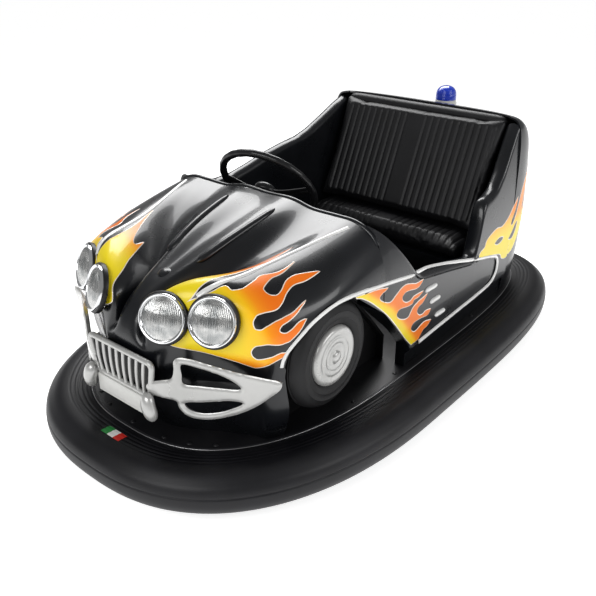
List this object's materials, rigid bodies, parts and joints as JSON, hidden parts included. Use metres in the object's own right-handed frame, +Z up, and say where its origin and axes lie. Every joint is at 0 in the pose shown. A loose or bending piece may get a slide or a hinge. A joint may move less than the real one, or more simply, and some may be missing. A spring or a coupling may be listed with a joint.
{
  "type": "two-seat fairground bumper car",
  "caption": "Two-seat fairground bumper car with a moulded retro body on a deck inside a rubber bumper ring, swivelling drive wheel, steering wheel and bench seat.",
  "frame": {"origin": "on the floor under the middle of the bumper ring", "axes": "+Z up, the car faces -Y, its left side is +X"},
  "size_m": [1.15, 1.987, 0.8353],
  "materials": {
    "bumper_rubber": "satin ribbed rubber",
    "painted_steel": "black chassis paint",
    "deck_paint": "satin black",
    "gloss_black_body": "polished black moulding with flame artwork",
    "silver_trim": "silver painted plastic",
    "lamp_chrome": "bright bezel and ribbed lens",
    "plate_white": "plain white",
    "tyre_rubber": "matt",
    "bare_steel": "machined",
    "cream_plastic": "moulded",
    "blue_lens": "clear blue",
    "red_lens": "clear red",
    "black_vinyl": "grained vinyl",
    "battery_case": "moulded",
    "wheel_grip": "soft black grip"
  },
  "bodies": {
    "car": {"bumper_tube": "bumper_rubber", "bumper_rim": "painted_steel", "floor_pan": "deck_paint", "chassis_frame": "painted_steel", "front_body": "gloss_black_body", "headlamp_inner_left": "lamp_chrome", "headlamp_outer_left": "lamp_chrome", "headlamp_inner_right": "lamp_chrome", "headlamp_outer_right": "lamp_chrome", "grille": "silver_trim", "number_plate": "plate_white", "front_bumper_left": "silver_trim", "front_bumper_right": "silver_trim", "dummy_tyre_left": "tyre_rubber", "dummy_tyre_right": "tyre_rubber", "hubcap_left": "silver_trim", "hubcap_right": "silver_trim", "wheel_house_left": "gloss_black_body", "wheel_house_right": "gloss_black_body", "dashboard": "gloss_black_body", "steering_column": "painted_steel", "pedal": "bare_steel", "side_panel_left": "gloss_black_body", "side_panel_right": "gloss_black_body", "rear_body": "gloss_black_body", "beacon_base": "cream_plastic", "beacon_dome": "blue_lens", "tail_lamp_left": "red_lens", "tail_lamp_right": "red_lens", "seat_base": "gloss_black_body", "seat_cushion": "black_vinyl", "seat_back": "black_vinyl", "battery": "battery_case", "drive_ring": "painted_steel", "rear_axle": "painted_steel"},
    "steering_wheel": {"steering_wheel": "wheel_grip"},
    "drive_unit": {"drive_fork": "painted_steel", "drive_motor": "painted_steel"},
    "drive_wheel": {"drive_tyre": "tyre_rubber", "drive_hub": "bare_steel"},
    "rear_wheel_left": {"rear_tyre_left": "tyre_rubber", "rear_hub_left": "bare_steel"},
    "rear_wheel_right": {"rear_tyre_right": "tyre_rubber", "rear_hub_right": "bare_steel"}
  },
  "joints": [
    {"name": "drive_swivel", "type": "hinge", "parent": "car", "child": "drive_unit", "pos_m": [0, -0.52, 0.1786], "axis": [0, 0, 1], "range_deg": [-180, 180]},
    {"name": "drive_roll", "type": "hinge", "parent": "drive_unit", "child": "drive_wheel", "pos_m": [0, -0.52, 0.125], "axis": [1, 0, 0], "continuous": true},
    {"name": "steering", "type": "hinge", "parent": "car", "child": "steering_wheel", "pos_m": [-0.135, -0.118, 0.63], "axis": [-0.1823, 0.7767, 0.6029], "range_deg": [-180, 180]},
    {"name": "rear_roll_left", "type": "hinge", "parent": "car", "child": "rear_wheel_left", "pos_m": [0.335, 0.56, 0.07], "axis": [1, 0, 0], "continuous": true},
    {"name": "rear_roll_right", "type": "hinge", "parent": "car", "child": "rear_wheel_right", "pos_m": [-0.335, 0.56, 0.07], "axis": [1, 0, 0], "continuous": true}
  ],
  "couplings": [
    {"joint": "steering", "follows": "drive_swivel", "ratio": 1}
  ]
}
